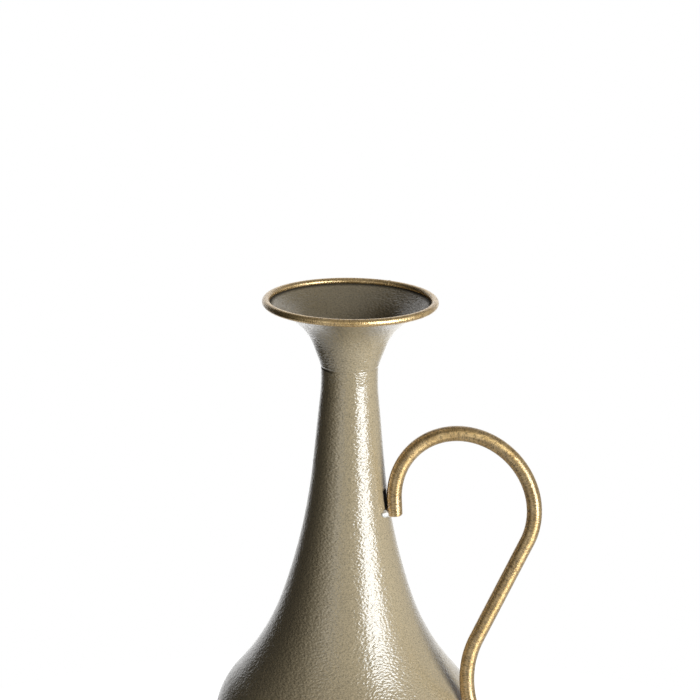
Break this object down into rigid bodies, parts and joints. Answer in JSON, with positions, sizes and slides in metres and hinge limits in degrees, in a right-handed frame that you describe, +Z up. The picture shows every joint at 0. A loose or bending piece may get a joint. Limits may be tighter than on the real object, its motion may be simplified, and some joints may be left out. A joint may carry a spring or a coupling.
{
  "type": "urn vase",
  "caption": "Tall urn vase of spun sheet metal with a trumpet mouth, a slim neck, a wire rim and a looped round-bar handle on one side.",
  "frame": {"origin": "centre of the base, on the underside of the felt, on the axis of the body", "axes": "+Z up along the axis of the body, +X towards the side that carries the handle"},
  "size_m": [0.178, 0.142, 0.3702],
  "materials": {
    "body_coat": "greige powder coat, glossy, with a fine orange-peel texture",
    "antique_gold": "antique gold, mottled and slightly rough",
    "felt": "pressed black felt"
  },
  "bodies": {
    "root": {"rim_wire": "antique_gold", "rim_butt_weld": "antique_gold", "rim_braze": "antique_gold", "mouth_flare": "body_coat", "throat_bead": "body_coat", "neck_cone": "body_coat", "neck_bead": "body_coat", "shoulder_bell": "body_coat", "belly_bead": "body_coat", "urn_bowl": "body_coat", "base_pan": "body_coat", "pan_weld": "body_coat", "felt_disc": "felt", "handle_rod": "antique_gold", "handle_tip_weld": "body_coat", "handle_foot_weld": "body_coat"}
  },
  "joints": []
}
